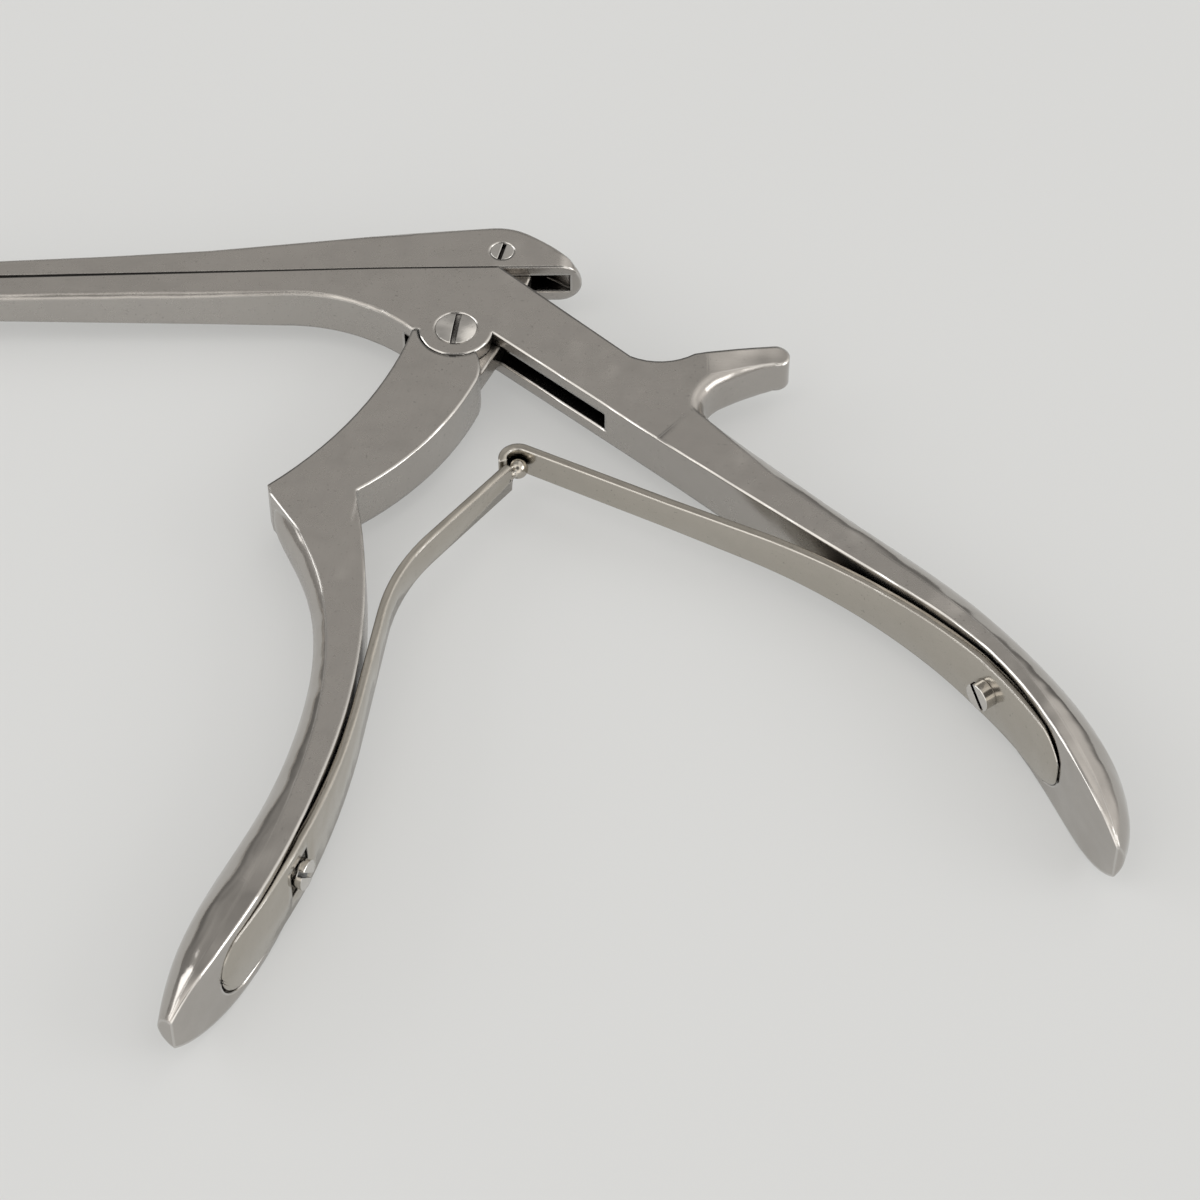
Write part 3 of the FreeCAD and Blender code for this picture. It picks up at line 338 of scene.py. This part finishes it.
def table_top():
    """Pale, even paper, whose shadows are lifted for the camera and for reflections."""
    paint = Paint(bpy.data.materials.new("table_paper"))
    cloud = paint.noise(paint.node("TexCoord", None, None, "Object"), 5.0, 2.0)
    shade = paint.mix(cloud, rgba(TABLE, 0.99), rgba(TABLE, 1.01))
    matt = {"Roughness": 0.85, "Specular IOR Level": 0.15, "Base Color": shade}
    paper = paint.node("BsdfPrincipled", None, matt)
    glow = paint.node("Emission", None, {"Color": rgba(TABLE_GLOW), "Strength": 1.0})
    rays = ("Is Camera Ray", "Is Glossy Ray", "Is Transmission Ray")
    seen = sum(paint.node("LightPath", None, None, ray) for ray in rays)
    lift = seen.smaller(1) * SHADOW_LIFT
    return paint.end("OutputMaterial", paint.node("MixShader", None, {0: lift, 1: paper, 2: glow}))


def deselect():
    """Leaves nothing selected, since operators act on all that is."""
    bpy.ops.object.select_all(action="DESELECT")


def merged_copy(node, name):
    """A copy of a CAD node with its loose triangles joined and its flat faces whole."""
    deselect()
    piece = bpy.data.objects.new(name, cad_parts[node].data.copy())
    bpy.context.scene.collection.objects.link(piece)
    piece.select_set(True)
    bpy.context.view_layer.objects.active = piece
    bpy.ops.object.mode_set(mode="EDIT")
    bpy.ops.mesh.select_all(action="SELECT")
    bpy.ops.mesh.remove_doubles(threshold=WELD_DISTANCE)
    bpy.ops.mesh.dissolve_limited(angle_limit=FLAT_ANGLE)
    bpy.ops.object.mode_set(mode="OBJECT")
    return piece


def soften(piece, width, steps):
    """Rounds the sharp edges of a piece and smooths the rest."""
    bevel = piece.modifiers.new("edges", "BEVEL")
    bevel.limit_method = "ANGLE"
    bevel.angle_limit = SHARP_ANGLE
    bevel.width = width
    bevel.segments = steps
    bevel.use_clamp_overlap = False
    bevel.miter_outer = "MITER_ARC"
    bpy.context.view_layer.objects.active = piece
    piece.select_set(True)
    bpy.ops.object.modifier_apply(modifier=bevel.name)
    bpy.ops.object.shade_smooth_by_angle(angle=SHARP_ANGLE)


def give_finish(piece, material):
    """Puts one material on a piece, in place of what it had."""
    piece.data.materials.clear()
    piece.data.materials.append(material)


def make_materials():
    """The finish of each piece."""
    leaf = {"edge": LEAF_EDGE_RADIUS}
    screw = {"edge": SCREW_EDGE_RADIUS, "slots": SCREW_SLOTS}
    return {
        "frame": steel("frame_steel", STEEL, SATIN_ROUGHNESS, [REAR_HANDLE_END, SPUR_END], seam=True),
        "slide": steel("slide_steel", STEEL, SATIN_ROUGHNESS, slots=SLIDE_SLOTS, seam=True),
        "lever": steel("handle_steel", STEEL, SATIN_ROUGHNESS, [FRONT_HANDLE_END], 78),
        "rear_leaf": steel("rear_leaf_steel", LEAF_STEEL, LEAF_ROUGHNESS, [], -35, **leaf),
        "front_leaf": steel("front_leaf_steel", LEAF_STEEL, LEAF_ROUGHNESS, [BALL], 62, **leaf),
        "screw": steel("screw_steel", SCREW_STEEL, SCREW_ROUGHNESS, [], 30, **screw),
    }


def build_leaf(node, name, material):
    """A copy of a leaf with rounded edges and its finish, shown in place of the CAD node."""
    leaf = merged_copy(node, name)
    soften(leaf, LEAF_EDGE, LEAF_EDGE_STEPS)
    give_finish(leaf, material)
    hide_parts(node)
    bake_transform(leaf)


def build_table():
    """The pale surface that the instrument lies on."""
    deselect()
    bpy.ops.mesh.primitive_plane_add(size=TABLE_SIZE, location=(0, 0, 0))
    table = bpy.context.object
    table.name = "table"
    table.data.materials.append(table_top())


def hang_window(name, location, size, power):
    """A lamp as large as a window, turned toward the instrument."""
    lamp = bpy.data.lights.new(name, "AREA")
    lamp.shape = "RECTANGLE"
    lamp.size, lamp.size_y = size
    lamp.energy = power
    holder = bpy.data.objects.new(name, lamp)
    bpy.context.scene.collection.objects.link(holder)
    holder.location = location
    holder.rotation_euler = (-Vector(location)).to_track_quat("-Z", "Y").to_euler()


def light_room():
    """A dim room: bright wall and ceiling, dark far wall, dark patch over the camera, two windows."""
    room = Paint(bpy.data.worlds.new("room"))
    bpy.context.scene.world = room.owner
    toward = room.node("TexCoord", None, None, "Generated")
    height = room.along(toward, (0, 0, 1))
    beyond = room.along(toward, (0, 1, 0))
    bright_wall = room.along(toward, Vector((-0.30, -0.80, 0.52)).normalized()).ramp(0.35, 0.85)
    bright_ceiling = room.along(toward, Vector((0.75, 0.20, 0.63)).normalized()).ramp(0.60, 0.86)
    dark_patch = room.along(toward, Vector((-0.02, -0.65, 0.76)).normalized()).ramp(0.90, 0.965)
    dark_wall = height.ramp(0.30, 0.08) * beyond.ramp(0.2, 0.7)
    patches = room.noise(toward, 2.2, 1.0)
    level = ROOM_LEVEL + bright_wall * WALL_ADDS + bright_ceiling * CEILING_ADDS
    level = (level + (patches - 0.5) * PATCHES_ADD).larger(ROOM_LEAST)
    level = level * (1 - dark_wall * DARK_WALL_TAKES) * (1 - dark_patch * DARK_PATCH_TAKES)
    shade = room.mix(level / 2, (0, 0, 0, 1), ROOM_LIGHT)
    room.end("OutputWorld", room.node("Background", None, {"Color": shade, "Strength": 1.0}))
    for name, location, size, power in WINDOWS:
        hang_window(name, location, size, power)


def set_camera():
    """The photograph's view: 50 degrees down, square to the shaft."""
    ahead = Vector((
        math.sin(CAMERA_TURN) * math.cos(CAMERA_TILT),
        math.cos(CAMERA_TURN) * math.cos(CAMERA_TILT),
        -math.sin(CAMERA_TILT),
    ))
    right = Vector((math.cos(CAMERA_TURN), -math.sin(CAMERA_TURN), 0))
    up = right.cross(ahead)
    camera = bpy.data.objects.new("camera", bpy.data.cameras.new("camera"))
    bpy.context.scene.collection.objects.link(camera)
    camera.data.lens = LENS
    camera.data.sensor_width = SENSOR
    camera.data.clip_start = NEAREST
    facing = Matrix((right, up, -ahead)).transposed().to_4x4()
    camera.matrix_world = Matrix.Translation(PIVOT + CAMERA_FROM_PIVOT) @ facing
    bpy.context.scene.camera = camera


finish = make_materials()
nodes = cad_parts
give_finish(nodes["frame"], finish["frame"])
give_finish(nodes["slide"], finish["slide"])
give_finish(nodes["front_handle"], finish["lever"])
for screw in ("pivot_screw", "slide_screw", "rear_spring_screw", "front_spring_screw"):
    give_finish(nodes[screw], finish["screw"])
build_leaf("rear_leaf_spring", "rear_leaf", finish["rear_leaf"])
build_leaf("front_leaf_spring", "front_leaf", finish["front_leaf"])
build_table()
light_room()
set_camera()
bpy.context.scene.view_settings.view_transform = "Standard"
